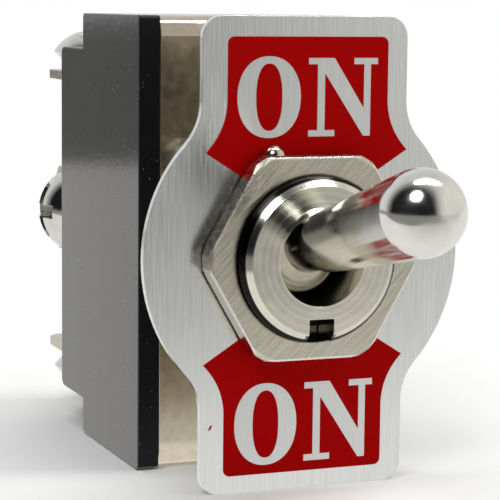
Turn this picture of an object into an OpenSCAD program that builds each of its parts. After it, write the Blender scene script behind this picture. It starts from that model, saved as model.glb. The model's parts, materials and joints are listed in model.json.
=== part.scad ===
// Heavy-duty double-pole ON-ON panel toggle switch with screw terminals and a legend plate.
// The origin is on the bushing's axis, at the front face of the bracket.
// The lever points to -Y, the terminals to +Y, and the long side of the housing runs along Z.

/* [Housing] */
// Width of the housing
body_w = 19.4; // [18.6:0.1:24]
// Height of the housing and of the bracket
body_h = 34; // [33:0.5:42]
// Depth from the bracket's front face to the ledge that the bracket is clinched over
ledge_y = 14.1; // [13.5:0.1:16]
// Depth from the bracket's front face to the rear face
rear_y = 20.3; // [19.8:0.1:24]
// Height of the deeper rear block
rear_h = 28.4; // [27.6:0.1:30]
// Thickness of the side walls beside the bracket
side_wall = 1.7; // [1.2:0.1:2]
// Thickness of the side walls round the contact chamber
shell_t = 2; // [1.9:0.1:2.3]
// Thickness of the wall that carries the terminals
rear_wall = 2.7; // [2:0.1:3.2]
// Thickness of the top and bottom walls of the rear block
rear_shell = 1.8; // [1.4:0.1:2]
// Thickness of the top and bottom walls of the front chamber
front_shell = 1.6; // [1.2:0.1:2.4]
// Depth of the tall front chamber
chamber_y = 12.4; // [11:0.1:12.6]
// Thickness of the barrier between the two poles
divider_t = 1.2; // [0.8:0.1:2]
// Depth at which the barrier starts
divider_y = 11.4; // [11:0.1:13]
// Corner radius of the housing's front part
front_r = 0.4; // [0.2:0.05:1]
// Radius of the housing's upright edges
upright_r = 0.1; // [0.05:0.05:0.3]
// Corner radius of the rear block
rear_r = 0.8; // [0.3:0.05:1.4]

/* [Bracket] */
// Sheet thickness of the bracket
bracket_t = 0.8; // [0.6:0.05:1]
// Outer bend radius of the bracket
bend_r = 1.5; // [1.2:0.1:2.2]
// Width of the clinched ears
ear_w = 8; // [5:0.5:12]
// Gap between an ear's end and the rear block
ear_gap = 0.2; // [0.1:0.05:0.5]
// Thickness of the insulating liner behind the bracket
liner_t = 0.3; // [0.2:0.05:0.5]
// Gap round the edge of the liner
liner_gap = 0.2; // [0.1:0.05:0.4]
// Play between the bracket and the housing's side walls
bracket_play = 0.05; // [0.02:0.01:0.1]

/* [Bushing] */
// Outer diameter of the bushing's thread
bushing_d = 11.9; // [11.6:0.1:12.4]
// Length of the bushing in front of the bracket
bushing_l = 11.9; // [11.4:0.1:13]
// Diameter of the lever bore
bore_d = 6.5; // [6.4:0.05:7]
// Chamfer of the bushing's front edge
bushing_chamfer = 0.65; // [0.3:0.05:0.9]
// Diameter of the neck that passes through the bracket
neck_d = 10.4; // [10:0.1:11]
// Diameter of the staked rim behind the bracket
stake_d = 12.4; // [11.6:0.1:13]
// Thickness of the staked rim
stake_t = 0.8; // [0.5:0.1:1]
// Diameter of the flare at the bushing's rear end
flare_d = 8.5; // [8.2:0.1:9]
// Width of the keyway
keyway_w = 1.9; // [1.4:0.1:2.4]
// Depth of the keyway
keyway_t = 1.8; // [1:0.1:1.9]

/* [Nuts and washers] */
// Width across flats of both nuts
nut_af = 14.5; // [14:0.1:16]
// Thickness of both nuts
nut_t = 1.6; // [1.4:0.1:1.9]
// Diameter over the rounded corners of a nut
nut_corner_d = 16.2; // [15.6:0.1:17]
// Chamfer of a nut's corners
nut_chamfer = 0.3; // [0.1:0.05:0.6]
// Length of bushing that stands out of the front nut
bushing_proud = 1.3; // [0.9:0.1:1.6]
// Outer diameter of the locking ring
ring_d = 14; // [13.6:0.1:15]
// Thickness of the locking ring
ring_t = 0.4; // [0.3:0.05:0.7]
// Distance from the bushing's axis to the tip of the ring's ear
ear_reach = 8.5; // [8:0.1:9.5]
// Width of the ring's ear
ring_ear_w = 1.7; // [1.2:0.1:2.2]
// Direction of the ring's ear, counted from +X towards +Z
ear_angle = 110; // [100:1:120]
// Outer diameter of the toothed lock washer
washer_d = 15; // [14:0.1:16]
// Thickness of the toothed lock washer
washer_t = 0.5; // [0.4:0.05:0.7]
// Number of teeth inside the lock washer
teeth = 10; // [8:1:12]
// Play between the bushing and the parts on it
thread_gap = 0.06; // [0.04:0.01:0.1]

/* [Legend plate] */
// Height of the legend plate
plate_h = 34.2; // [33:0.1:38]
// Width of the plate's two tabs
tab_w = 15.8; // [15:0.1:17]
// Diameter of the plate's round middle
disc_d = 24.4; // [23.4:0.1:26]
// Thickness of the legend plate
plate_t = 0.6; // [0.4:0.05:0.8]
// Corner radius of the tabs
tab_r = 1.5; // [0.6:0.1:2.5]
// Radius of the hollow curve between the tabs and the middle
waist_r = 4.2; // [3:0.1:5]

/* [Lever] */
// Distance from the bracket's front face to the lever's pivot
pivot_depth = 6.6; // [6.2:0.1:7]
// Angle of the lever to either side of the middle
throw = 13.7; // [12.6:0.1:13.8]
// Play between the ball and the bore
ball_play = 0.05; // [0.03:0.01:0.1]
// Diameter of the neck above the ball
lever_neck_d = 3.6; // [3.2:0.05:3.65]
// Distance from the pivot to the end of the neck
neck_end = 5.7; // [5.5:0.1:6.2]
// Length of the shoulder between the neck and the handle
shoulder_l = 0.9; // [0.6:0.1:1.4]
// Diameter of the handle at the shoulder
handle_d = 4.4; // [4:0.1:4.8]
// Distance from the pivot to the centre of the round end
handle_l = 21.1; // [18:0.1:25]
// Diameter of the handle's round end
end_d = 5.8; // [5.4:0.1:6.4]
// Diameter of the tail that drives the actuator
tail_d = 3.5; // [3:0.1:3.6]
// Diameter of the pivot pin
pin_d = 1.6; // [1.2:0.1:2]
// Length of the pivot pin
pin_l = 10.6; // [9.6:0.1:11]
// Radial play of the pivot pin in the ball
pin_play = 0.05; // [0.02:0.01:0.08]

/* [Actuator and plungers] */
// Distance from the middle of the switch to each pole
pole_x = 4.5; // [4.3:0.05:4.6]
// Length of the actuator block
actuator_l = 6.3; // [5.8:0.1:7]
// Wall round each plunger bore
actuator_wall = 0.9; // [0.7:0.05:1]
// Diameter of the actuator's middle boss
boss_d = 6; // [5.4:0.1:6.6]
// Depth of the tail's socket
socket_l = 5; // [4:0.1:5.4]
// Diameter of a plunger and of its round tip
plunger_d = 3.2; // [2.8:0.1:3.4]
// Radial play of a plunger in its bore
plunger_play = 0.06; // [0.03:0.01:0.1]
// Length of a plunger that stands out of the actuator
plunger_out = 3.4; // [3:0.1:3.8]
// Length of a plunger
plunger_l = 7.1; // [6.8:0.1:7.3]
// Travel of a plunger into the actuator
plunger_travel = 1.2; // [0.8:0.1:1.4]
// Wall of a plunger
plunger_wall = 0.5; // [0.4:0.05:0.6]
// Wire diameter of the springs
wire_d = 0.35; // [0.25:0.05:0.4]
// Turns in a spring
coil_turns = 7; // [5:1:9]

/* [Contacts and terminals] */
// Sheet thickness of the terminals
sheet_t = 0.75; // [0.6:0.05:0.9]
// Height of the rocker's pivot above the terminal's foot
saddle_h = 1.65; // [1.6:0.05:2]
// Diameter of the rolled bead that a rocker turns on
bead_d = 2; // [1.6:0.1:2.2]
// Thickness of the web under the bead
web_t = 0.9; // [0.6:0.1:1]
// Radial play between a rocker and its bead
bead_play = 0.08; // [0.04:0.01:0.1]
// Width of a rocker and of the inner contact strips
rocker_w = 4.2; // [3.6:0.1:4.2]
// Thickness of a rocker
rocker_t = 1.1; // [0.8:0.05:1.2]
// Thickness of a rocker over its bead
crown_t = 0.8; // [0.6:0.05:1]
// Angle of a rocker to either side of the middle
rock = 6.5; // [5.5:0.1:7]
// Half the height of the hollow that the plunger runs in
dish_z = 4.2; // [4.1:0.1:4.6]
// Gap between a plunger's tip and its rocker
tip_gap = 0.15; // [0.1:0.01:0.25]
// Distance from the middle to each contact
contact_z = 8; // [7.4:0.1:8.4]
// Diameter of a contact
contact_d = 3; // [2.4:0.1:3.2]
// Height of a contact on a rocker
contact_h = 1.2; // [0.8:0.05:1.3]
// Rise of a contact's domed face
dome_h = 0.35; // [0.2:0.05:0.6]
// Diameter of a contact's rivet shank
shank_d = 1.5; // [1.2:0.1:1.8]
// Gap between closed contacts
contact_gap = 0.08; // [0.05:0.01:0.2]
// Gap between an upper or lower terminal and the chamber's wall
blade_gap = 0.35; // [0.2:0.05:0.6]
// Width of the upper and lower terminals behind the housing
blade_w = 6.4; // [6:0.1:7]
// Distance from the middle to the screws of the upper and lower terminals
screw_x = 5.5; // [5.2:0.1:5.8]
// Length of the upper and lower terminals behind the housing
blade_l = 7.8; // [7:0.1:9]
// Width of the centre terminals behind the housing
centre_w = 7.2; // [6.6:0.1:8]
// Length of the centre terminals behind the housing
centre_l = 8.5; // [7.6:0.1:9.5]
// Half the width of a centre terminal inside the housing
centre_half = 2.2; // [1.8:0.1:2.6]
// Chamfer of the terminals' free corners
blade_chamfer = 0.8; // [0.3:0.1:1.6]
// Play between a terminal and its slot
slot_play = 0.04; // [0.02:0.01:0.08]

/* [Terminal screws] */
// Diameter of the screws' thread
screw_d = 3.5; // [3:0.1:4]
// Diameter of the screws' heads
head_d = 6.4; // [5.8:0.1:6.6]
// Diameter of the flat under a head
head_base_d = 5.3; // [4.8:0.1:5.6]
// Height of the tapered rim of a head
rim_h = 0.6; // [0.3:0.05:0.9]
// Height of a head's dome
head_dome_h = 1.8; // [1.2:0.1:2.2]
// Width of the slot
slot_w = 1.1; // [0.8:0.1:1.4]
// Depth of the slot
slot_t = 0.9; // [0.5:0.1:1.3]
// Length of the cross recess
cross_l = 3.8; // [3:0.1:4.4]
// Depth of the cross recess
cross_t = 1.5; // [1:0.1:1.8]
// Distance from the housing to the screws
screw_y = 5.2; // [4:0.1:5.6]
// Gap left for a wire under the upper and lower screws
wire_gap = 1; // [0.2:0.1:1.6]
// Length of a screw's shank
screw_l = 6; // [4:0.1:7]
// Play between a screw and its tapped hole
screw_play = 0.04; // [0.02:0.01:0.08]

/* [Hidden] */
$fn = 64;

LEFT = -1;
RIGHT = 1;
UP = 1;
DOWN = -1;
// Overshoot of cutting tools, so that they leave no skin
cut = 1;

// Bracket and housing
bracket_w = body_w - 2 * side_wall;
seat_y = bracket_t + liner_t;
inner_h = body_h - 2 * bracket_t;
chamber_w = body_w - 2 * shell_t;
chamber_h = inner_h - 2 * front_shell;
floor_y = rear_y - rear_wall;
deep_h = rear_h - 2 * rear_shell;

// Stack of parts on the bushing, as distances in front of the bracket
nut_front = bushing_l - bushing_proud;
nut_back = nut_front - nut_t;
plate_front = nut_back - ring_t;
plate_back = plate_front - plate_t;
washer_back = plate_back - washer_t;
on_bushing_d = bushing_d + 2 * thread_gap;

// Terminals and rockers, as depths behind the bracket's front face
foot_y = floor_y - sheet_t;
bead_y = foot_y - saddle_h;
groove_r = bead_d / 2 + bead_play;
crown_y = -groove_r - crown_t;

// Plunger: distance from the lever's pivot to the centre of its round tip
tip_r = plunger_d / 2;
tip_reach = bead_y + crown_y - tip_gap - tip_r + pivot_depth;
actuator_end = tip_reach + tip_r - plunger_out;
bore_r = tip_r + plunger_play;
actuator_r = bore_r + actuator_wall;
plunger_start = tip_reach + tip_r - plunger_l;
spring_start = plunger_start - plunger_travel - 0.3;
spring_end = tip_reach + tip_r - 2 * plunger_wall;
spring_r = tip_r - plunger_wall - 0.1;

// Path of the tip's centre in the frame of a rocker, at the middle and at the end of the throw
path_mid = tip_reach - pivot_depth - bead_y;
path_y = tip_reach * cos(throw) - pivot_depth - bead_y;
path_z = tip_reach * sin(throw);
end_y = path_y * cos(rock) - path_z * sin(rock);
end_z = path_z * cos(rock) + path_y * sin(rock);
path_r = (pow(end_z, 2) + pow(path_mid - end_y, 2)) / (2 * (path_mid - end_y));
dish_centre = path_mid - path_r;
dish_r = path_r + tip_r + tip_gap;
wing_front = dish_centre + sqrt(pow(dish_r, 2) - pow(dish_z, 2));
wing_back = wing_front + rocker_t;

// Height of a fixed contact, so that it meets the rocker's at the end of the throw
moving_face = (wing_back + contact_h) * cos(rock) + contact_z * sin(rock);
fixed_h = foot_y - bead_y - moving_face - contact_gap;

// Terminals behind the housing
blade_z = deep_h / 2 - blade_gap;
centre_x = chamber_w / 2;
strip_in = pole_x - rocker_w / 2;
strip_out = pole_x + rocker_w / 2;

// Turns a shape drawn in X and Z so that it rises towards the front
module to_front(depth = 0) {
    translate([0, -depth, 0]) rotate([90, 0, 0]) children();
}

// Extrudes an outline drawn in Y and Z across the width, from one x to another
module across(x_from, x_to) {
    translate([x_from, 0, 0]) rotate([90, 0, 90]) linear_extrude(x_to - x_from) children();
}

// Places a shape on the lever: its z is the distance from the pivot towards the handle's end
module on_lever() {
    translate([0, -pivot_depth, 0]) rotate([90 - throw, 0, 0]) children();
}

// Places an outline of a rocker, drawn round its pivot, at its rest angle
module on_rocker() {
    translate([0, bead_y, 0]) rotate([rock, 0, 0]) children();
}

module box(x_from, x_to, y_from, y_to, z_from, z_to) {
    translate([x_from, y_from, z_from]) cube([x_to - x_from, y_to - y_from, z_to - z_from]);
}

module both_sides() {
    for (side = [LEFT, RIGHT]) scale_x(side) children();
}

module scale_x(side) {
    if (side == LEFT) mirror([1, 0, 0]) children();
    else children();
}

module scale_z(side) {
    if (side == DOWN) mirror([0, 0, 1]) children();
    else children();
}

// Rectangle with round corners, between two x and two y
module round_rect(x_from, x_to, y_from, y_to, r) {
    translate([x_from + r, y_from]) square([x_to - x_from - 2 * r, y_to - y_from]);
    translate([x_from, y_from + r]) square([x_to - x_from, y_to - y_from - 2 * r]);
    for (x = [x_from + r, x_to - r], y = [y_from + r, y_to - r]) translate([x, y]) circle(r);
}

module housing() {
    color("#2b2b2b") difference() {
        intersection() {
            across(-body_w / 2, body_w / 2) union() {
                round_rect(0, ledge_y, -body_h / 2, body_h / 2, front_r);
                round_rect(0, rear_y, -rear_h / 2, rear_h / 2, rear_r);
            }
            translate([0, 0, -body_h / 2])
                linear_extrude(body_h) round_rect(-body_w / 2, body_w / 2, 0, rear_y, upright_r);
        }
        bracket_recess();
        contact_chambers();
        for (x = [LEFT, RIGHT]) scale_x(x) terminal_slots();
    }
}

// Space for the bracket's web and flanges between the side walls
module bracket_recess() {
    half = bracket_w / 2 + bracket_play;
    box(-half, half, -cut, seat_y, -body_h, body_h);
    for (side = [UP, DOWN]) scale_z(side) {
        box(-half, half, -cut, ledge_y + cut, inner_h / 2, body_h);
        box(-half, half, -cut, bend_r, inner_h / 2 - bend_r + bracket_t, body_h);
    }
}

module contact_chambers() {
    box(-chamber_w / 2, chamber_w / 2, 0, chamber_y, -chamber_h / 2, chamber_h / 2);
    both_sides() {
        box(divider_t / 2, chamber_w / 2, 0, floor_y, -deep_h / 2, deep_h / 2);
    }
    box(-chamber_w / 2, chamber_w / 2, 0, divider_y, -deep_h / 2, deep_h / 2);
}

module terminal_slots() {
    for (side = [UP, DOWN]) scale_z(side)
        box(strip_in - slot_play, strip_out + slot_play, floor_y - cut, rear_y + cut,
            blade_z - sheet_t - slot_play, blade_z + slot_play);
    box(centre_x - sheet_t - slot_play, centre_x + slot_play, floor_y - cut, rear_y + cut,
        -centre_half - slot_play, centre_half + slot_play);
}

module bracket() {
    color("#b9b6ab") difference() {
        union() {
            across(-bracket_w / 2, bracket_w / 2) bracket_outline();
            for (side = [UP, DOWN]) scale_z(side) clinched_ear();
        }
        to_front(-bracket_t - cut) cylinder(d = neck_d + 2 * thread_gap, h = bracket_t + 2 * cut);
    }
}

// Bent sheet, seen from the side
module bracket_outline() {
    difference() {
        union() {
            round_rect(0, ledge_y, -body_h / 2, body_h / 2, bend_r);
            translate([bend_r, -body_h / 2]) square([ledge_y - bend_r, body_h]);
        }
        round_rect(bracket_t, ledge_y + 2 * bend_r, -inner_h / 2, inner_h / 2, bend_r - bracket_t);
    }
}

module clinched_ear() {
    box(-ear_w / 2, ear_w / 2, ledge_y, ledge_y + bracket_t, rear_h / 2 + ear_gap, inner_h / 2);
    across(-ear_w / 2, ear_w / 2) intersection() {
        translate([ledge_y, inner_h / 2]) circle(bracket_t);
        translate([ledge_y, inner_h / 2]) square(2 * bracket_t);
    }
}

module insulating_liner() {
    half_w = bracket_w / 2 - liner_gap;
    half_h = inner_h / 2 - bend_r - liner_gap;
    color("#4a3a2a") difference() {
        to_front(-seat_y)
            linear_extrude(liner_t) round_rect(-half_w, half_w, -half_h, half_h, bend_r);
        to_front(-seat_y - cut) cylinder(d = stake_d + 2 * liner_gap, h = liner_t + 2 * cut);
    }
}

module bushing() {
    back = bracket_t + stake_t;
    outer_r = bushing_d / 2;
    color("#c9c7bd") difference() {
        to_front() rotate_extrude() polygon([
            [bore_d / 2, bushing_l],
            [outer_r - bushing_chamfer, bushing_l],
            [outer_r, bushing_l - bushing_chamfer],
            [outer_r, 0],
            [neck_d / 2, 0],
            [neck_d / 2, -bracket_t],
            [stake_d / 2, -bracket_t],
            [stake_d / 2, -back],
            [flare_d / 2, -back],
            [bore_d / 2, pivot_depth - bore_d / 2]
        ]);
        box(-keyway_w / 2, keyway_w / 2, -bushing_l - cut, 0, -bushing_d, keyway_t - outer_r);
        translate([-bushing_d, -pivot_depth, 0])
            rotate([0, 90, 0]) cylinder(d = pin_d, h = 2 * bushing_d);
    }
}

module pivot_pin() {
    color("#a8a59b") translate([-pin_l / 2, -pivot_depth, 0])
        rotate([0, 90, 0]) cylinder(d = pin_d, h = pin_l);
}

module lever() {
    ball_r = bore_d / 2 - ball_play;
    tail_l = actuator_end - actuator_l + socket_l;
    shoulder_z = neck_end + shoulder_l;
    centre_d = norm([handle_l - shoulder_z, handle_d / 2]);
    taper = asin(end_d / 2 / centre_d) - atan2(handle_d / 2, handle_l - shoulder_z);
    taper_end = handle_l - end_d / 2 * sin(taper);
    color("#d6d4cc") on_lever() difference() {
        union() {
            sphere(ball_r);
            translate([0, 0, -tail_l]) cylinder(d = tail_d, h = tail_l);
            cylinder(d = lever_neck_d, h = neck_end);
            translate([0, 0, neck_end])
                cylinder(d1 = lever_neck_d, d2 = handle_d, h = shoulder_l);
            translate([0, 0, shoulder_z])
                cylinder(d1 = handle_d, d2 = end_d * cos(taper), h = taper_end - shoulder_z);
            translate([0, 0, handle_l]) sphere(end_d / 2);
        }
        rotate([0, 90, 0]) cylinder(r = pin_d / 2 + pin_play, h = 2 * bore_d, center = true);
    }
}

module actuator() {
    start = actuator_end - actuator_l;
    color("#6b4a2c") on_lever() difference() {
        translate([0, 0, -actuator_end]) linear_extrude(actuator_l) {
            circle(d = boss_d);
            for (x = [-pole_x, pole_x]) translate([x, 0]) circle(actuator_r);
            square([2 * pole_x, 2 * bore_r], center = true);
        }
        translate([0, 0, -start - socket_l]) cylinder(d = tail_d, h = socket_l + cut);
        for (x = [-pole_x, pole_x]) translate([x, 0, -actuator_end - cut])
            cylinder(r = bore_r, h = actuator_end - spring_start + cut);
    }
}

module plunger(side) {
    inner_r = tip_r - plunger_wall;
    color("#c8a24a") on_lever() translate([side * pole_x, 0, 0]) difference() {
        union() {
            translate([0, 0, -tip_reach]) cylinder(r = tip_r, h = tip_reach - plunger_start);
            translate([0, 0, -tip_reach]) sphere(tip_r);
        }
        translate([0, 0, -spring_end]) cylinder(r = inner_r, h = spring_end - plunger_start + cut);
    }
}

// Round wire wound between two distances from the pivot
module spring(side) {
    sides = 6;
    steps = 12 * coil_turns;
    wire_r = wire_d / 2;
    mean_r = spring_r - wire_r;
    rise = spring_end - spring_start - wire_d;
    points = [
        for (i = [0:steps], k = [0:sides - 1])
            let (turn = 360 * coil_turns * i / steps, around = 360 * k / sides)
            let (r = mean_r + wire_r * cos(around))
            [r * cos(turn), r * sin(turn), wire_r + rise * i / steps + wire_r * sin(around)]
    ];
    walls = [
        for (i = [0:steps - 1], k = [0:sides - 1])
            let (next = (k + 1) % sides)
            [i * sides + k, (i + 1) * sides + k, (i + 1) * sides + next, i * sides + next]
    ];
    first = [for (k = [0:sides - 1]) k];
    last = [for (k = [sides - 1:-1:0]) steps * sides + k];
    color("#9a9890") on_lever() translate([side * pole_x, 0, -spring_end])
        polyhedron(points, concat(walls, [first], [last]), convexity = 10);
}

// Side outline of a rocker round its pivot: a hollow middle, a groove and two flat wings
module rocker_outline() {
    wing_z = contact_z + contact_d / 2 + 0.2;
    knuckle_z = groove_r + crown_t;
    difference() {
        union() {
            intersection() {
                difference() {
                    translate([dish_centre, 0]) circle(dish_r + rocker_t, $fn = 128);
                    translate([dish_centre, 0]) circle(dish_r, $fn = 128);
                }
                translate([wing_front - rocker_t, -dish_z]) square([dish_r, 2 * dish_z]);
            }
            for (z = [dish_z, -wing_z]) translate([wing_front, z]) square([rocker_t, wing_z - dish_z]);
            difference() {
                translate([crown_y, -knuckle_z]) square([-crown_y + groove_r / 3, 2 * knuckle_z]);
                translate([dish_centre, 0]) circle(dish_r, $fn = 128);
            }
        }
        circle(groove_r);
    }
}

module rocker(side) {
    color("#c07a45") scale_x(side) difference() {
        on_rocker() across(strip_in, strip_out) rocker_outline();
        for (z = [-contact_z, contact_z]) on_rocker() translate([pole_x, wing_front - cut, z])
            rotate([-90, 0, 0]) cylinder(d = shank_d, h = rocker_t + 2 * cut);
    }
}

// Domed contact rivet, standing on z = 0, with its shank below
module contact(h, shank_l) {
    r = contact_d / 2;
    dome_r = (pow(r, 2) + pow(dome_h, 2)) / (2 * dome_h);
    color("#dcdcd6") {
        intersection() {
            cylinder(r = r, h = h);
            translate([0, 0, h - dome_r]) sphere(dome_r, $fn = 96);
        }
        translate([0, 0, -shank_l]) cylinder(d = shank_d, h = shank_l);
    }
}

module rocker_contacts(side) {
    for (z = [-contact_z, contact_z]) scale_x(side) on_rocker() translate([pole_x, wing_back, z])
        rotate([-90, 0, 0]) contact(contact_h, rocker_t);
}

module fixed_contacts(side) {
    for (z = [-contact_z, contact_z]) scale_x(side) translate([pole_x, foot_y, z])
        rotate([90, 0, 0]) contact(fixed_h, sheet_t);
}

// Upper or lower terminal: a contact strip on the chamber's floor, bent out through the rear wall
module end_terminal(side, level) {
    low_z = contact_z - contact_d / 2 - 0.2;
    color("#c9c6ba") scale_x(side) scale_z(level) difference() {
        union() {
            across(strip_in, strip_out) union() {
                translate([foot_y, low_z]) square([sheet_t, blade_z - sheet_t - low_z]);
                translate([floor_y, blade_z - sheet_t]) square([rear_y - floor_y, sheet_t]);
                intersection() {
                    translate([floor_y, blade_z - sheet_t]) circle(sheet_t);
                    translate([foot_y, blade_z - sheet_t]) square(sheet_t);
                }
            }
            translate([0, 0, blade_z - sheet_t]) linear_extrude(sheet_t)
                blade_outline(screw_x - blade_w / 2, screw_x + blade_w / 2, blade_l);
        }
        translate([screw_x, rear_y + screw_y, 0])
            cylinder(r = screw_d / 2 + screw_play, h = body_h);
        translate([pole_x, foot_y - cut, contact_z])
            rotate([-90, 0, 0]) cylinder(d = shank_d, h = sheet_t + 2 * cut);
    }
}

// Flat blade that starts at the housing's rear face, with its free corners cut off
module blade_outline(from, to, length) {
    tip = rear_y + length;
    polygon([
        [from, rear_y], [to, rear_y], [to, tip - blade_chamfer], [to - blade_chamfer, tip],
        [from + blade_chamfer, tip], [from, tip - blade_chamfer]
    ]);
}

// Centre terminal: an upright blade, bent over inside to a foot with the rocker's pivot
module centre_terminal(side) {
    color("#c9c6ba") scale_x(side) difference() {
        union() {
            translate([0, 0, -centre_half]) linear_extrude(2 * centre_half) {
                translate([strip_in, foot_y]) square([centre_x - sheet_t - strip_in, sheet_t]);
                translate([centre_x - sheet_t, floor_y]) square([sheet_t, rear_y - floor_y]);
                intersection() {
                    translate([centre_x - sheet_t, floor_y]) circle(sheet_t);
                    translate([centre_x - sheet_t, foot_y]) square(sheet_t);
                }
            }
            box(strip_in, strip_out, bead_y, foot_y, -web_t / 2, web_t / 2);
            across(strip_in, strip_out) translate([bead_y, 0]) circle(d = bead_d);
            translate([centre_x - sheet_t, 0, 0]) rotate([90, 0, 90]) linear_extrude(sheet_t)
                rotate(-90) blade_outline_upright();
        }
        translate([0, rear_y + screw_y, 0]) rotate([0, 90, 0])
            cylinder(r = screw_d / 2 + screw_play, h = body_w);
    }
}

module blade_outline_upright() {
    blade_outline(-centre_w / 2, centre_w / 2, centre_l);
}

// Pan-head screw with a slot and a cross recess: its head stands on z = 0, its shank hangs below
module screw() {
    dome_r = (pow(head_d / 2, 2) + pow(head_dome_h, 2)) / (2 * head_dome_h);
    top = rim_h + head_dome_h;
    color("#cfccc2") {
        difference() {
            union() {
                cylinder(d1 = head_base_d, d2 = head_d, h = rim_h);
                translate([0, 0, rim_h]) intersection() {
                    cylinder(d = head_d, h = head_dome_h);
                    translate([0, 0, head_dome_h - dome_r]) sphere(dome_r, $fn = 96);
                }
            }
            translate([0, 0, top - slot_t / 2]) cube([2 * head_d, slot_w, slot_t], center = true);
            translate([0, 0, top - cross_t / 2]) cube([cross_l, slot_w, cross_t], center = true);
            translate([0, 0, top - cross_t / 2]) cube([slot_w, cross_l, cross_t], center = true);
        }
        translate([0, 0, -screw_l]) cylinder(d = screw_d, h = screw_l);
    }
}

module terminal_screws() {
    for (x = [LEFT, RIGHT]) scale_x(x) translate([0, rear_y + screw_y, 0]) {
        for (z = [UP, DOWN]) scale_z(z) translate([screw_x, 0, blade_z + wire_gap]) rotate(30) screw();
        translate([centre_x, 0, 0]) rotate([0, 90, 0]) screw();
    }
}

module legend_plate() {
    half_w = tab_w / 2;
    color("#bdbdb8") to_front(plate_back) linear_extrude(plate_t) difference() {
        union() {
            round_rect(-half_w, half_w, -plate_h / 2, plate_h / 2, tab_r);
            circle(d = disc_d, $fn = 128);
            plate_waists();
        }
        circle(d = on_bushing_d);
    }
}

// Fillets between the tabs and the round middle of the legend plate
module plate_waists() {
    waist_x = tab_w / 2 + waist_r;
    waist_z = sqrt(pow(disc_d / 2 + waist_r, 2) - pow(waist_x, 2));
    share = disc_d / 2 / (disc_d / 2 + waist_r);
    difference() {
        for (z = [waist_z * share, -waist_z]) translate([-waist_x * share, z])
            square([2 * waist_x * share, waist_z * (1 - share)]);
        for (x = [-waist_x, waist_x], z = [-waist_z, waist_z]) translate([x, z]) circle(waist_r);
    }
}

// Keyed ring with one ear that is bent up beside the nut's flat
module locking_ring() {
    dimple_r = ring_ear_w / 2;
    key_w = keyway_w - 2 * thread_gap;
    key_reach = bushing_d / 2 - keyway_t / 2;
    color("#d0cec6") to_front(plate_front) {
        linear_extrude(ring_t) {
            difference() {
                union() {
                    circle(d = ring_d);
                    rotate(ear_angle) translate([0, -dimple_r]) square([ear_reach - dimple_r, ring_ear_w]);
                    rotate(ear_angle) translate([ear_reach - dimple_r, 0]) circle(dimple_r);
                }
                circle(d = on_bushing_d);
            }
            translate([-key_w / 2, -ring_d / 2 + ring_t]) square([key_w, ring_d / 2 - ring_t - key_reach]);
        }
        difference() {
            rotate(ear_angle) translate([ear_reach - dimple_r, 0, ring_t]) intersection() {
                sphere(dimple_r);
                cylinder(r = ring_d, h = ring_d);
            }
            translate([0, 0, ring_t]) cylinder(r = nut_af / 2 / cos(30) + thread_gap, h = nut_t, $fn = 6);
        }
    }
}

// Hexagon nut with its flats up and down and its corners turned round on both faces
module nut(back) {
    r = nut_corner_d / 2;
    color("#b5b3a6") to_front(back) difference() {
        intersection() {
            cylinder(r = nut_af / 2 / cos(30), h = nut_t, $fn = 6);
            rotate_extrude() polygon([
                [0, 0], [r - nut_chamfer, 0], [r, nut_chamfer],
                [r, nut_t - nut_chamfer], [r - nut_chamfer, nut_t], [0, nut_t]
            ]);
        }
        translate([0, 0, -cut]) cylinder(d = on_bushing_d, h = nut_t + 2 * cut);
    }
}

module lock_washer() {
    tooth_gap_w = 0.45 * PI * on_bushing_d / teeth;
    root_r = (washer_d + on_bushing_d) / 4;
    color("#a9a79c") to_front(washer_back) linear_extrude(washer_t) difference() {
        circle(d = washer_d);
        circle(d = on_bushing_d);
        for (i = [0:teeth - 1]) rotate(i * 360 / teeth) {
            translate([0, -tooth_gap_w / 2]) square([root_r, tooth_gap_w]);
        }
    }
}

housing();
bracket();
insulating_liner();
bushing();
pivot_pin();
lever();
actuator();
plunger(LEFT);  // plunger_left
plunger(RIGHT);  // plunger_right
spring(LEFT);  // spring_left
spring(RIGHT);  // spring_right
rocker(LEFT);  // rocker_left
rocker(RIGHT);  // rocker_right
rocker_contacts(LEFT);  // rocker_contacts_left
rocker_contacts(RIGHT);  // rocker_contacts_right
fixed_contacts(LEFT);  // fixed_contacts_left
fixed_contacts(RIGHT);  // fixed_contacts_right
end_terminal(LEFT, UP);  // terminal_upper_left
centre_terminal(LEFT);  // terminal_centre_left
end_terminal(LEFT, DOWN);  // terminal_lower_left
end_terminal(RIGHT, UP);  // terminal_upper_right
centre_terminal(RIGHT);  // terminal_centre_right
end_terminal(RIGHT, DOWN);  // terminal_lower_right
terminal_screws();
legend_plate();
locking_ring();
nut(nut_back);  // front_nut
nut(washer_back - nut_t);  // back_nut
lock_washer();
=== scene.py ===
"""Looks of the panel toggle switch: materials, printed legend, thread, studio and camera.

Lengths are millimetres in the CAD frame, and MM turns them into Blender's metres.
"""

import json
import math

import bpy
from mathutils import Matrix, Vector


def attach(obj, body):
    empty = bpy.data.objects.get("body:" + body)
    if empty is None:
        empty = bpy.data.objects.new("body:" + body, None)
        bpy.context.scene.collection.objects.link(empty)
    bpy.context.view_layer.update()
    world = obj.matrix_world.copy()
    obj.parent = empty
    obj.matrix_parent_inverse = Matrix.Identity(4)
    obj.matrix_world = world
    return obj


MM = 0.001

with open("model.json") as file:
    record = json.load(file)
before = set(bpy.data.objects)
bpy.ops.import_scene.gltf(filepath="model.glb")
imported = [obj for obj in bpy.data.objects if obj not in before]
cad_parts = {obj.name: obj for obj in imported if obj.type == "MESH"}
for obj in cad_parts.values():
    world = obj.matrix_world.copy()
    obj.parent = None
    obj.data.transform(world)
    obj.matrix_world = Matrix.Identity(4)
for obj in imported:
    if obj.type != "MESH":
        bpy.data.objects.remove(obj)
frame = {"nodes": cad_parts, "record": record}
nodes = frame["nodes"]
scene = bpy.context.scene


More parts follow.
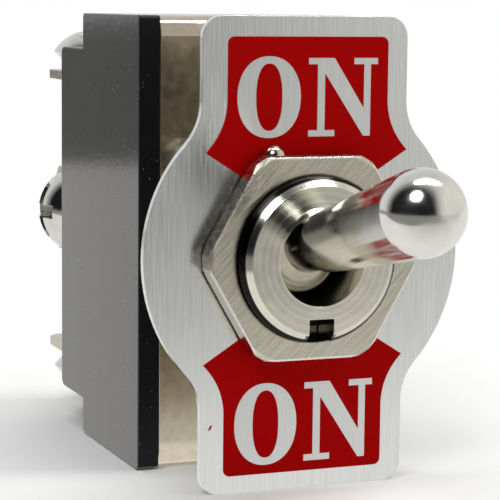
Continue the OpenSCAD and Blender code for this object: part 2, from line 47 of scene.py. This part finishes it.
# ---------------------------------------------------------------- shader helpers

def new_material(name):
    mat = bpy.data.materials.new(name)
    mat.use_nodes = True
    tree = mat.node_tree
    return mat, tree, tree.nodes["Principled BSDF"]


def link(tree, a, b):
    tree.links.new(a, b)


def object_coords(tree):
    return tree.nodes.new("ShaderNodeTexCoord").outputs["Object"]


def noise(tree, scale, detail=3.0, turn=(0, 0, 0), coords=None):
    """Noise with its own grain size along each axis, in cells per millimetre."""
    turning = tree.nodes.new("ShaderNodeMapping")
    turning.inputs["Rotation"].default_value = [math.radians(a) for a in turn]
    link(tree, coords or object_coords(tree), turning.inputs["Vector"])
    mapping = tree.nodes.new("ShaderNodeMapping")
    mapping.inputs["Scale"].default_value = [s / MM for s in scale]
    link(tree, turning.outputs["Vector"], mapping.inputs["Vector"])
    tex = tree.nodes.new("ShaderNodeTexNoise")
    tex.inputs["Scale"].default_value = 1.0
    tex.inputs["Detail"].default_value = detail
    link(tree, mapping.outputs["Vector"], tex.inputs["Vector"])
    return tex.outputs["Fac"]


def remap(tree, value, low, high, start=0.3, end=0.7):
    """Goes from low to high while value goes from start to end."""
    node = tree.nodes.new("ShaderNodeMapRange")
    node.inputs["From Min"].default_value = start
    node.inputs["From Max"].default_value = end
    node.inputs["To Min"].default_value = low
    node.inputs["To Max"].default_value = high
    link(tree, value, node.inputs["Value"])
    return node.outputs["Result"]


def maths(tree, operation, a, b=None):
    node = tree.nodes.new("ShaderNodeMath")
    node.operation = operation
    for socket, value in zip(node.inputs, (a, b)):
        if value is None:
            continue
        if isinstance(value, (int, float)):
            socket.default_value = value
        else:
            link(tree, value, socket)
    return node.outputs[0]


def separate(tree, vector):
    node = tree.nodes.new("ShaderNodeSeparateXYZ")
    link(tree, vector, node.inputs[0])
    return node.outputs


def mix_color(tree, fac, first, second):
    """Mixes two colours, each given as a value or as a socket."""
    node = tree.nodes.new("ShaderNodeMix")
    node.data_type = "RGBA"
    link(tree, fac, node.inputs[0])
    colors = {"A": first, "B": second}
    for socket in node.inputs:
        if socket.type != "RGBA":
            continue
        color = colors[socket.name]
        if isinstance(color, tuple):
            socket.default_value = (*color, 1)
        else:
            link(tree, color, socket)
    return [socket for socket in node.outputs if socket.type == "RGBA"][0]


def tint(tree, color, fac, dark):
    """Mixes a darker shade of a colour with the colour itself."""
    return mix_color(tree, fac, tuple(c * dark for c in color), color)


def reversed_fac(tree, fac):
    return maths(tree, "SUBTRACT", 1.0, fac)


def add_bump(tree, bsdf, height, distance, edge=0.0):
    bump = tree.nodes.new("ShaderNodeBump")
    bump.inputs["Distance"].default_value = distance * MM
    bump.inputs["Strength"].default_value = 1.0
    link(tree, height, bump.inputs["Height"])
    if edge:
        bevel = tree.nodes.new("ShaderNodeBevel")
        bevel.samples = 4
        bevel.inputs["Radius"].default_value = edge * MM
        link(tree, bevel.outputs["Normal"], bump.inputs["Normal"])
    link(tree, bump.outputs["Normal"], bsdf.inputs["Normal"])


def surface(
    name, color, metallic, rough, grain, dark, bump,
    turn=(0, 0, 0), edge=0.08, shine=0.5, brushed=0.0,
):
    """Plain finish: a colour, a range of roughness and a grain that varies both."""
    mat, tree, bsdf = new_material(name)
    fac = noise(tree, grain, 4.0, turn)
    bsdf.inputs["Metallic"].default_value = metallic
    bsdf.inputs["Specular IOR Level"].default_value = shine
    if brushed:
        upright = tree.nodes.new("ShaderNodeCombineXYZ")
        upright.inputs[2].default_value = 1.0
        link(tree, upright.outputs[0], bsdf.inputs["Tangent"])
        bsdf.inputs["Anisotropic"].default_value = brushed
    link(tree, tint(tree, color, remap(tree, fac, 0, 1), dark), bsdf.inputs["Base Color"])
    link(tree, remap(tree, fac, rough[0], rough[1]), bsdf.inputs["Roughness"])
    add_bump(tree, bsdf, fac, bump, edge)
    return mat


def keyway_shade(tree, radius, x, y, z):
    """Painted shade: darkens the play between bushing and nut, and the inside of the keyway."""
    on_wall = remap(tree, radius, 0, 1, GAP_R * MM, (GAP_R + GAP_FADE) * MM)
    in_gap = maths(tree, "MULTIPLY", maths(tree, "LESS_THAN", y, GAP_Y * MM), on_wall)
    in_slot = maths(tree, "LESS_THAN", maths(tree, "ABSOLUTE", x), SLOT_HALF * MM)
    for side, axis, edge in (("LESS_THAN", z, SLOT_TOP_Z), ("GREATER_THAN", y, SLOT_FRONT_Y)):
        in_slot = maths(tree, "MULTIPLY", in_slot, maths(tree, side, axis, edge * MM))
    outside_slot = reversed_fac(tree, maths(tree, "MULTIPLY", in_slot, SLOT_DARKNESS))
    return maths(tree, "MULTIPLY", reversed_fac(tree, in_gap), outside_slot)


def turned(name, color, rough, ring_pitch, bump, thread_bump):
    """Metal turned round the bushing's axis: fine rings on its faces, a thread on its wall."""
    mat, tree, bsdf = new_material(name)
    x, y, z = separate(tree, object_coords(tree))
    squares = maths(tree, "ADD", maths(tree, "MULTIPLY", x, x), maths(tree, "MULTIPLY", z, z))
    radius = maths(tree, "SQRT", squares)
    join = tree.nodes.new("ShaderNodeCombineXYZ")
    link(tree, radius, join.inputs[0])
    link(tree, maths(tree, "MULTIPLY", y, 0.5), join.inputs[1])
    rings = noise(tree, (1 / ring_pitch, 1 / ring_pitch, 0), 3.0, coords=join.outputs[0])
    smears = noise(tree, (0.9, 0.9, 0.9), 3.0)
    fac = maths(
        tree, "ADD",
        maths(tree, "MULTIPLY", rings, RING_SHARE),
        maths(tree, "MULTIPLY", smears, 1 - RING_SHARE),
    )
    # Painted shade in the play with the nut and inside the keyway, together with the grain, sets the colour
    shade = keyway_shade(tree, radius, x, y, z)
    shade_and_grain = maths(tree, "MULTIPLY", shade, remap(tree, fac, 0.7, 1))
    bsdf.inputs["Metallic"].default_value = 1.0
    link(tree, tint(tree, color, shade_and_grain, 0.02), bsdf.inputs["Base Color"])
    link(tree, remap(tree, fac, rough[0], rough[1]), bsdf.inputs["Roughness"])
    wave = maths(tree, "SINE", maths(tree, "MULTIPLY", y, 2 * math.pi / (THREAD_PITCH * MM)))
    wave_on_wall = maths(tree, "MULTIPLY", wave, maths(tree, "GREATER_THAN", radius, THREAD_ROOT * MM))
    height = maths(tree, "ADD", rings, maths(tree, "MULTIPLY", wave_on_wall, thread_bump))
    add_bump(tree, bsdf, height, bump, 0.1)
    return mat


# ---------------------------------------------------------------- materials

# Bushing: the painted shade in its play with the nut and in its keyway, the share of rings in its grain, and
# its thread
GAP_R = 5.66
GAP_FADE = 0.06
GAP_Y = -10.3
SLOT_HALF = 1.15
SLOT_TOP_Z = -4.0
SLOT_FRONT_Y = -11.8
SLOT_DARKNESS = 0.82
RING_SHARE = 0.6
THREAD_PITCH = 0.79
THREAD_ROOT = 5.9
THREAD_CREST = 6.0

# Front nut: the painted highlight along the edge of its front face, between two distances from the axis
NUT_RIM = (7.08, 7.14)
NUT_FRONT_Y = -10.45
NUT_RIM_HIGHLIGHT = (0.97, 0.95, 0.90)

# Share of the moulding's gloss on its front and rear faces, and on its sides
MOULDING_SHINE = (0.05, 0.35)

FINE_BUMP = 0.004
ALUMINIUM = (0.83, 0.84, 0.84)
BRUSH_GRAIN = (16, 1, 0.35)

# Colour, range of roughness, grain in cells per millimetre and darkest share of the colour
METALS = {
    "nickel_sheet": ((0.76, 0.68, 0.55), (0.06, 0.16), 1.2, 0.82),
    "lever_nickel": ((0.84, 0.83, 0.79), (0.10, 0.20), 0.8, 0.9),
    "screw_nickel": ((0.78, 0.77, 0.74), (0.08, 0.18), 1.5, 0.85),
    "terminal_plate": ((0.66, 0.60, 0.50), (0.16, 0.32), 1.5, 0.75),
    "brass": ((0.78, 0.56, 0.22), (0.15, 0.28), 2, 0.8),
    "copper": ((0.76, 0.42, 0.24), (0.2, 0.35), 2, 0.8),
    "silver": ((0.88, 0.88, 0.86), (0.18, 0.3), 2, 0.85),
    "steel": ((0.56, 0.56, 0.53), (0.2, 0.36), 2, 0.8),
}
SHEETS = {
    "liner": ((0.20, 0.11, 0.05), (0.5, 0.7), 3, 0.7),
    "insulator": ((0.22, 0.10, 0.04), (0.4, 0.6), 3, 0.7),
}


def moulding_material():
    """Black moulding with dust, faint streaks and glossier sides."""
    mat, tree, bsdf = new_material("moulding")
    grain = noise(tree, (2.5, 2.5, 2.5), 6.0)
    dust = remap(tree, noise(tree, (5.5, 5.5, 5.5), 1.0), 0, 1, 0.755, 0.775)
    streaks = noise(tree, (0.5, 0.5, 9.0), 3.0, turn=(0, 0, 35))
    bsdf.inputs["IOR"].default_value = 1.9
    link(tree, tint(tree, (0.36, 0.36, 0.41), dust, 0.025), bsdf.inputs["Base Color"])
    rough = maths(tree, "ADD", remap(tree, grain, 0.06, 0.10), remap(tree, streaks, 0.0, 0.03))
    link(tree, rough, bsdf.inputs["Roughness"])
    normal = separate(tree, tree.nodes.new("ShaderNodeTexCoord").outputs["Normal"])
    shine = remap(tree, maths(tree, "ABSOLUTE", normal[0]), *MOULDING_SHINE)
    link(tree, shine, bsdf.inputs["Specular IOR Level"])
    add_bump(tree, bsdf, grain, FINE_BUMP, 0.15)
    return mat


def nut_material():
    """Brushed hexagon whose front face has a painted highlight along its edge."""
    mat = surface(
        "nut_nickel", (0.74, 0.71, 0.59), 1, (0.20, 0.34), (0.5, 1, 9), 0.72, 0.006,
        turn=(0, 45, 0), edge=0.16,
    )
    tree = mat.node_tree
    base_color = tree.nodes["Principled BSDF"].inputs["Base Color"]
    brushed_color = base_color.links[0].from_socket
    x, y, z = separate(tree, object_coords(tree))
    flat = maths(tree, "ABSOLUTE", z)
    for side in (-1, 1):
        across = maths(tree, "MULTIPLY", x, side * math.cos(math.radians(30)))
        slanted = maths(tree, "ADD", across, maths(tree, "MULTIPLY", z, 0.5))
        flat = maths(tree, "MAXIMUM", flat, maths(tree, "ABSOLUTE", slanted))
    # Painted highlight: a pale colour in a thin band along the hexagon's edge on the front face
    rim_highlight = remap(tree, flat, 0, 1, NUT_RIM[0] * MM, NUT_RIM[1] * MM)
    on_front = maths(tree, "LESS_THAN", y, NUT_FRONT_Y * MM)
    highlight_on_front = maths(tree, "MULTIPLY", rim_highlight, on_front)
    link(tree, mix_color(tree, highlight_on_front, brushed_color, NUT_RIM_HIGHLIGHT), base_color)
    return mat


def plain_surfaces(table, metallic):
    return {
        name: surface(name, color, metallic, rough, (grain, grain, grain), dark, FINE_BUMP)
        for name, (color, rough, grain, dark) in table.items()
    }


MATERIALS = {
    **plain_surfaces(METALS, 1),
    **plain_surfaces(SHEETS, 0),
    "moulding": moulding_material(),
    "nickel": turned("nickel", (0.90, 0.88, 0.77), (0.10, 0.20), 0.2, 0.002, 35.0),
    "nut_nickel": nut_material(),
    "legend_aluminium": surface(
        "legend_aluminium", ALUMINIUM, 1, (0.16, 0.25), BRUSH_GRAIN, 0.86, 0.003, brushed=0.8,
    ),
}
RED = surface(
    "red_enamel", (0.36, 0.001, 0.001), 0, (0.4, 0.5), (2, 2, 2), 0.9, 0.002, edge=0.0, shine=0.02,
)
BARE = surface(
    "bare_letters", ALUMINIUM, 1, (0.34, 0.46), BRUSH_GRAIN, 0.86, 0.002, edge=0.0, brushed=0.8,
)

for entry in frame["record"]["subparts"]:
    mesh = nodes[entry["node"]].data
    mesh.materials.clear()
    mesh.materials.append(MATERIALS[entry["material_slot"]])


# ---------------------------------------------------------------- printed legend

PLATE_FACE = -8.6
PRINT_T = 0.03
LETTER_T = 0.02

# The sizes of the fields and letters were measured on the photo's own legend, through the fitted camera

# Red fields: half width, far ends, corner radius, and the flare that spreads towards the nut
FIELD_HALF = 6.2
FIELD_TOP = 15.75
LOWER_FIELD_TOP = 15.82
UPPER_SHIFT = (0.17, -0.1)
LOWER_SHIFT = (0.08, 0.0)
FIELD_CORNER = 0.5
FLARE_START = 11.6
FLARE_PULL = (6.1, 9.3)
FLARE_TIP = (7.8, 7.6)
FIELD_END = (4.0, 5.2)

# Letters: height of their middle, how far the lower pair lies below, and how much larger it is
LETTER_MID = 11.38
LETTER_GAP_Z = 23.54
LOWER_LETTER_SCALE = 1.04

# The round letter: its centre, then width, height and squareness of its two outlines
O_CENTRE_X = -2.89
O_OUTER = (4.84, 5.78, 2.15)
O_INNER = (2.0, 4.75, 2.3)

# The upright letter: its edges, the inner and outer side of each stem, and its serifs
N_LEFT = 0.13
N_RIGHT = 5.54
N_TOP = 14.14
N_BOTTOM = 8.55
LEFT_STEM = (0.83, 1.40)
RIGHT_STEM = (4.46, 4.99)
SERIF_T = 0.45
UPPER_SERIF_X = 3.67
LOWER_SERIF_X = 2.18

# Its slanted stroke: where it leaves the top and reaches the foot, and where its edges meet the stems
SLANT_HEAD_X = 2.13
SLANT_FOOT_X = 4.45
SLANT_UPPER_Z = 10.55
SLANT_LOWER_Z = 13.05


def mesh_object(name, verts, faces, mat, body="base"):
    """New piece from points in millimetres, riding on a body unless body is None."""
    mesh = bpy.data.meshes.new(name)
    mesh.from_pydata([Vector(v) * MM for v in verts], [], faces)
    mesh.update()
    obj = bpy.data.objects.new(name, mesh)
    scene.collection.objects.link(obj)
    mesh.materials.append(mat)
    if body:
        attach(obj, body)
    return obj


def flat_piece(name, outline, back, thick, mat):
    """Thin plate with the given outline in X and Z, standing out of the legend plate."""
    n = len(outline)
    verts = [(x, back, z) for x, z in outline] + [(x, back - thick, z) for x, z in outline]
    faces = [tuple(range(n - 1, -1, -1)), tuple(range(n, 2 * n))]
    faces += [(i, (i + 1) % n, n + (i + 1) % n, n + i) for i in range(n)]
    return mesh_object(name, verts, faces, mat)


def ring_piece(name, outer, inner, back, thick, mat):
    """Flat ring between two outlines with the same number of points."""
    n = len(outer)
    verts = []
    for y in (back, back - thick):
        verts += [(x, y, z) for x, z in outer] + [(x, y, z) for x, z in inner]
    faces = []
    for i in range(n):
        j = (i + 1) % n
        faces.append((2 * n + i, 2 * n + j, 3 * n + j, 3 * n + i))
        faces.append((n + i, n + j, j, i))
        faces.append((i, j, 2 * n + j, 2 * n + i))
        faces.append((n + j, n + i, 3 * n + i, 3 * n + j))
    return mesh_object(name, verts, faces, mat)


def curve(start, pull, end, steps=12):
    """Points of a curve that leaves start towards pull and arrives at end from it."""
    points = []
    for i in range(steps + 1):
        t = i / steps
        shares = ((1 - t) ** 2, 2 * t * (1 - t), t * t)
        points.append(tuple(
            sum(share * value for share, value in zip(shares, values))
            for values in zip(start, pull, end)
        ))
    return points


def field_outline(up, top, shift):
    """Right half of the red field, then its mirror image. up is 1, or -1 for the lower field."""
    corner = []
    for degrees in range(90, -1, -15):
        a = math.radians(degrees)
        corner.append((
            FIELD_HALF - FIELD_CORNER * (1 - math.cos(a)),
            top - FIELD_CORNER * (1 - math.sin(a)),
        ))
    half = corner + curve((FIELD_HALF, FLARE_START), FLARE_PULL, FLARE_TIP) + [FIELD_END]
    outline = half + [(-x, z) for x, z in reversed(half)]
    return [(x + shift[0], z * up + shift[1]) for x, z in outline]


def oval(cx, cz, w, h, power, steps=48):
    """Outline from an ellipse towards a rectangle as power grows past 2."""
    points = []
    for i in range(steps):
        a = 2 * math.pi * i / steps
        c, s = math.cos(a), math.sin(a)
        points.append((
            cx + w / 2 * math.copysign(abs(c) ** (2 / power), c),
            cz + h / 2 * math.copysign(abs(s) ** (2 / power), s),
        ))
    return points


def upright_letter():
    """Bold capital with thin stems, a heavy slanted stroke and flat serifs, clockwise from its upper left."""
    under_serif = N_TOP - SERIF_T
    over_serif = N_BOTTOM + SERIF_T
    left_out, left_in = LEFT_STEM
    right_in, right_out = RIGHT_STEM
    return [
        (N_LEFT, N_TOP), (SLANT_HEAD_X, N_TOP), (right_in, SLANT_UPPER_Z), (right_in, under_serif),
        (UPPER_SERIF_X, under_serif), (UPPER_SERIF_X, N_TOP), (N_RIGHT, N_TOP), (N_RIGHT, under_serif),
        (right_out, under_serif), (right_out, N_BOTTOM), (SLANT_FOOT_X, N_BOTTOM), (left_in, SLANT_LOWER_Z),
        (left_in, over_serif), (LOWER_SERIF_X, over_serif), (LOWER_SERIF_X, N_BOTTOM), (N_LEFT, N_BOTTOM),
        (N_LEFT, over_serif), (left_out, over_serif), (left_out, under_serif), (N_LEFT, under_serif),
    ]


def placed(outline, lower):
    """Moves a letter of the upper pair to its place in the lower pair."""
    if not lower:
        return outline
    mid = LETTER_MID - LETTER_GAP_Z
    return [(x, mid + (z - LETTER_MID) * LOWER_LETTER_SCALE) for x, z in outline]


letter_back = PLATE_FACE - PRINT_T
for name, lower in (("upper", False), ("lower", True)):
    if lower:
        field = field_outline(-1, LOWER_FIELD_TOP, LOWER_SHIFT)
    else:
        field = field_outline(1, FIELD_TOP, UPPER_SHIFT)
    flat_piece(f"legend_field_{name}", field, PLATE_FACE, PRINT_T, RED)
    ring_piece(
        f"letter_o_{name}",
        placed(oval(O_CENTRE_X, LETTER_MID, *O_OUTER), lower),
        placed(oval(O_CENTRE_X, LETTER_MID, *O_INNER), lower),
        letter_back, LETTER_T, BARE,
    )
    flat_piece(f"letter_n_{name}", placed(upright_letter(), lower), letter_back, LETTER_T, BARE)


FLECK = [(-7.3, -12.35), (-7.12, -12.3), (-6.98, -11.98), (-7.15, -12.02)]
flat_piece("paint_fleck", FLECK, PLATE_FACE, LETTER_T, RED)


# ---------------------------------------------------------------- bushing thread

THREAD_START = -10.95
THREAD_END = -0.5
THREAD_FLANK = 0.3


def thread_piece(name, start, end, steps=40):
    """Helical ridge round the bushing's axis between two depths, closed at both ends."""
    turns = (end - start) / THREAD_PITCH
    count = int(turns * steps)
    verts, faces = [], []
    for i in range(count + 1):
        a = 2 * math.pi * i / steps
        y = start + (end - start) * i / count
        for r, dy in ((THREAD_ROOT, -THREAD_FLANK), (THREAD_CREST, 0), (THREAD_ROOT, THREAD_FLANK)):
            verts.append((r * math.cos(a), y + dy * THREAD_PITCH, r * math.sin(a)))
    for i in range(count):
        for k in range(3):
            a, b = 3 * i + k, 3 * i + (k + 1) % 3
            faces.append((a, b, b + 3, a + 3))
    faces += [(2, 1, 0), (3 * count, 3 * count + 1, 3 * count + 2)]
    return mesh_object(name, verts, faces, MATERIALS["nickel"])


thread_piece("bushing_thread", THREAD_START, THREAD_END)


# ---------------------------------------------------------------- studio

FLOOR_Z = -17.1
FLOOR_HALF = 3000

# Distance over which the floor turns to plain white for the camera, so only the near shadow shows
NEAR = (26, 70)

# The floor as metal mirrors it: a pale sheet that ends behind on the left (BACK) and along an edge towards
# the front left (SHEET_EDGE, FRONT), and that fades further ahead (FADE), less so to the right
LIT_SHEET = (0.88, 0.87, 0.84)
DARK_SHARE = 0.30
SHEET_BACK = (274, 284)
BACK_LEFT = (-90, -10)
SHEET_FRONT = (64, 69)
SHEET_EDGE = (-0.72, -0.69)
FRONT_DEPTH = (0.97, 0.0)
FRONT_LEFT = (-40, 15)
FADE_OUT = (30, 110)
FADE_LEAN = 0.4
FADE_DEPTH = (0.92, 0.40)
FADE_ACROSS = (-30, 35)


def ramp_mm(tree, value, low, high, span):
    """Goes from low to high over a span of millimetres."""
    return remap(tree, value, low, high, span[0] * MM, span[1] * MM)


def sheet_light(tree, away, x, y):
    """Share of the pale sheet's light at a place on the floor."""
    behind = ramp_mm(tree, away, 0, 1, SHEET_BACK)
    on_left = ramp_mm(tree, x, 1, 0, BACK_LEFT)
    past_back = reversed_fac(tree, maths(tree, "MULTIPLY", behind, on_left))
    ahead_of = maths(
        tree, "ADD",
        maths(tree, "MULTIPLY", x, SHEET_EDGE[0]),
        maths(tree, "MULTIPLY", y, SHEET_EDGE[1]),
    )
    in_front = ramp_mm(tree, ahead_of, 0, 1, SHEET_FRONT)
    dim = ramp_mm(tree, x, *FRONT_DEPTH, FRONT_LEFT)
    past_front = reversed_fac(tree, maths(tree, "MULTIPLY", in_front, dim))
    far = ramp_mm(tree, y, 1, 0, (-FADE_OUT[1], -FADE_OUT[0]))
    sideways = maths(tree, "ADD", x, maths(tree, "MULTIPLY", y, FADE_LEAN))
    fade = ramp_mm(tree, sideways, *FADE_DEPTH, FADE_ACROSS)
    near_front = reversed_fac(tree, maths(tree, "MULTIPLY", far, fade))
    return maths(tree, "MULTIPLY", maths(tree, "MULTIPLY", past_back, past_front), near_front)


def mix_shader(tree, fac, first, second):
    node = tree.nodes.new("ShaderNodeMixShader")
    link(tree, fac, node.inputs[0])
    link(tree, first, node.inputs[1])
    link(tree, second, node.inputs[2])
    return node.outputs[0]


def floor_material():
    """Pale floor that keeps the shadow, is white further out and is mirrored as a lit sheet."""
    mat, tree, bsdf = new_material("studio_floor")
    bsdf.inputs["Base Color"].default_value = (0.92, 0.92, 0.92, 1)
    bsdf.inputs["Roughness"].default_value = 0.9
    distance = tree.nodes.new("ShaderNodeVectorMath")
    distance.operation = "LENGTH"
    link(tree, object_coords(tree), distance.inputs[0])
    away = distance.outputs["Value"]
    x, y, _ = separate(tree, object_coords(tree))
    ray = tree.nodes.new("ShaderNodeLightPath")
    seen = ray.outputs["Is Camera Ray"]
    mirrored = ray.outputs["Is Glossy Ray"]
    card = tree.nodes.new("ShaderNodeEmission")
    sheet = sheet_light(tree, away, x, y)
    link(tree, tint(tree, LIT_SHEET, sheet, DARK_SHARE), card.inputs["Color"])
    white = tree.nodes.new("ShaderNodeEmission")
    seen_card = mix_shader(tree, seen, card.outputs[0], white.outputs[0])
    far_seen = maths(tree, "MULTIPLY", ramp_mm(tree, away, 0, 1, NEAR), seen)
    instead = maths(tree, "MAXIMUM", far_seen, mirrored)
    blend = mix_shader(tree, instead, bsdf.outputs[0], seen_card)
    link(tree, blend, tree.nodes["Material Output"].inputs["Surface"])
    return mat


floor_corners = [(-1, -1), (1, -1), (1, 1), (-1, 1)]
floor = mesh_object(
    "studio_floor",
    [(FLOOR_HALF * x, FLOOR_HALF * y, FLOOR_Z) for x, y in floor_corners],
    [(0, 1, 2, 3)], floor_material(), None,
)


def softbox(name, place, size, power):
    """Soft lamp at a place in metres, aimed at the origin."""
    lamp = bpy.data.lights.new(name, "AREA")
    lamp.shape = "ELLIPSE"
    lamp.size, lamp.size_y = size
    lamp.energy = power
    obj = bpy.data.objects.new(name, lamp)
    scene.collection.objects.link(obj)
    obj.location = place
    obj.rotation_euler = (-Vector(place)).to_track_quat("-Z", "Y").to_euler()
    return obj


softbox("key", (-0.35, -0.35, 0.55), (0.34, 0.34), 2.0)
softbox("top", (0.1, -0.02, 0.6), (0.12, 0.55), 1.8)
side_lamp = softbox("right", (0.6, -0.35, 0.25), (0.7, 0.6), 0.9)
side_lamp.visible_glossy = False

# Directions in which the world is dark and light, each with the cosines where it starts and is full
DARK_TOWARDS = (-0.78, -0.58, 0.20)
DARK_SPREAD = (0.18, 0.56)
DARK_COLOR = (0.012, 0.012, 0.014)
LIGHT_TOWARDS = (0.94, -0.31, 0.12)
LIGHT_SPREAD = (0.45, 0.8)
LIGHT_COLOR = (0.78, 0.77, 0.72)

# The world's shade from straight in front (0) to straight behind (1)
WORLD_STOPS = {
    0.0: (0.38, 0.375, 0.35),
    0.15: (0.42, 0.415, 0.39),
    0.5: (0.50, 0.50, 0.49),
    1.0: (0.80, 0.80, 0.81),
}


def toward(tree, vector, direction, spread):
    """Share that grows as a direction turns towards a given one."""
    facing = tree.nodes.new("ShaderNodeVectorMath")
    facing.operation = "DOT_PRODUCT"
    facing.inputs[1].default_value = direction
    link(tree, vector, facing.inputs[0])
    return remap(tree, facing.outputs["Value"], 0, 1, *spread)


def world_background():
    """Grey studio round the object, mirrored in its metal, and plain white for the camera."""
    world = bpy.data.worlds.new("studio")
    scene.world = world
    world.use_nodes = True
    tree = world.node_tree
    background = tree.nodes["Background"]
    direction = tree.nodes.new("ShaderNodeTexCoord").outputs["Generated"]
    ramp = tree.nodes.new("ShaderNodeValToRGB")
    elements = ramp.color_ramp.elements
    places = sorted(WORLD_STOPS)
    elements[0].position = places[0]
    elements[0].color = (*WORLD_STOPS[places[0]], 1)
    elements[1].position = places[-1]
    elements[1].color = (*WORLD_STOPS[places[-1]], 1)
    for place in places[1:-1]:
        elements.new(place).color = (*WORLD_STOPS[place], 1)
    depth = maths(tree, "MULTIPLY", separate(tree, direction)[1], 0.5)
    link(tree, maths(tree, "ADD", depth, 0.5), ramp.inputs[0])
    dark = toward(tree, direction, DARK_TOWARDS, DARK_SPREAD)
    light = toward(tree, direction, LIGHT_TOWARDS, LIGHT_SPREAD)
    half_lit = mix_color(tree, dark, ramp.outputs[0], DARK_COLOR)
    around = mix_color(tree, light, half_lit, LIGHT_COLOR)
    seen = tree.nodes.new("ShaderNodeLightPath").outputs["Is Camera Ray"]
    link(tree, mix_color(tree, seen, around, (1, 1, 1)), background.inputs["Color"])
    background.inputs["Strength"].default_value = 1.0


world_background()


# ---------------------------------------------------------------- camera

# Found by a least-squares fit to edges read off the photo, then rounded
CAMERA_AT = (-55.2, -136.2, 18.2)
CAMERA_YAW = 21.78
CAMERA_DOWN = 7.32
CAMERA_ROLL = 0.62
CAMERA_LENS = 140.3
SENSOR_WIDTH = 36
NEAREST_SEEN = 0.01

yaw, down, roll = (math.radians(a) for a in (CAMERA_YAW, CAMERA_DOWN, CAMERA_ROLL))
ahead = Vector((math.sin(yaw) * math.cos(down), math.cos(yaw) * math.cos(down), -math.sin(down)))
level = Vector((math.cos(yaw), -math.sin(yaw), 0))
above = level.cross(ahead)
right = level * math.cos(roll) + above * math.sin(roll)
up = above * math.cos(roll) - level * math.sin(roll)
camera = bpy.data.objects.new("camera", bpy.data.cameras.new("camera"))
scene.collection.objects.link(camera)
camera.data.lens = CAMERA_LENS
camera.data.sensor_width = SENSOR_WIDTH
camera.data.clip_start = NEAREST_SEEN
turn = Matrix((right, up, -ahead)).transposed().to_4x4()
camera.matrix_world = Matrix.Translation(Vector(CAMERA_AT) * MM) @ turn
scene.camera = camera
scene.view_settings.view_transform = "Standard"
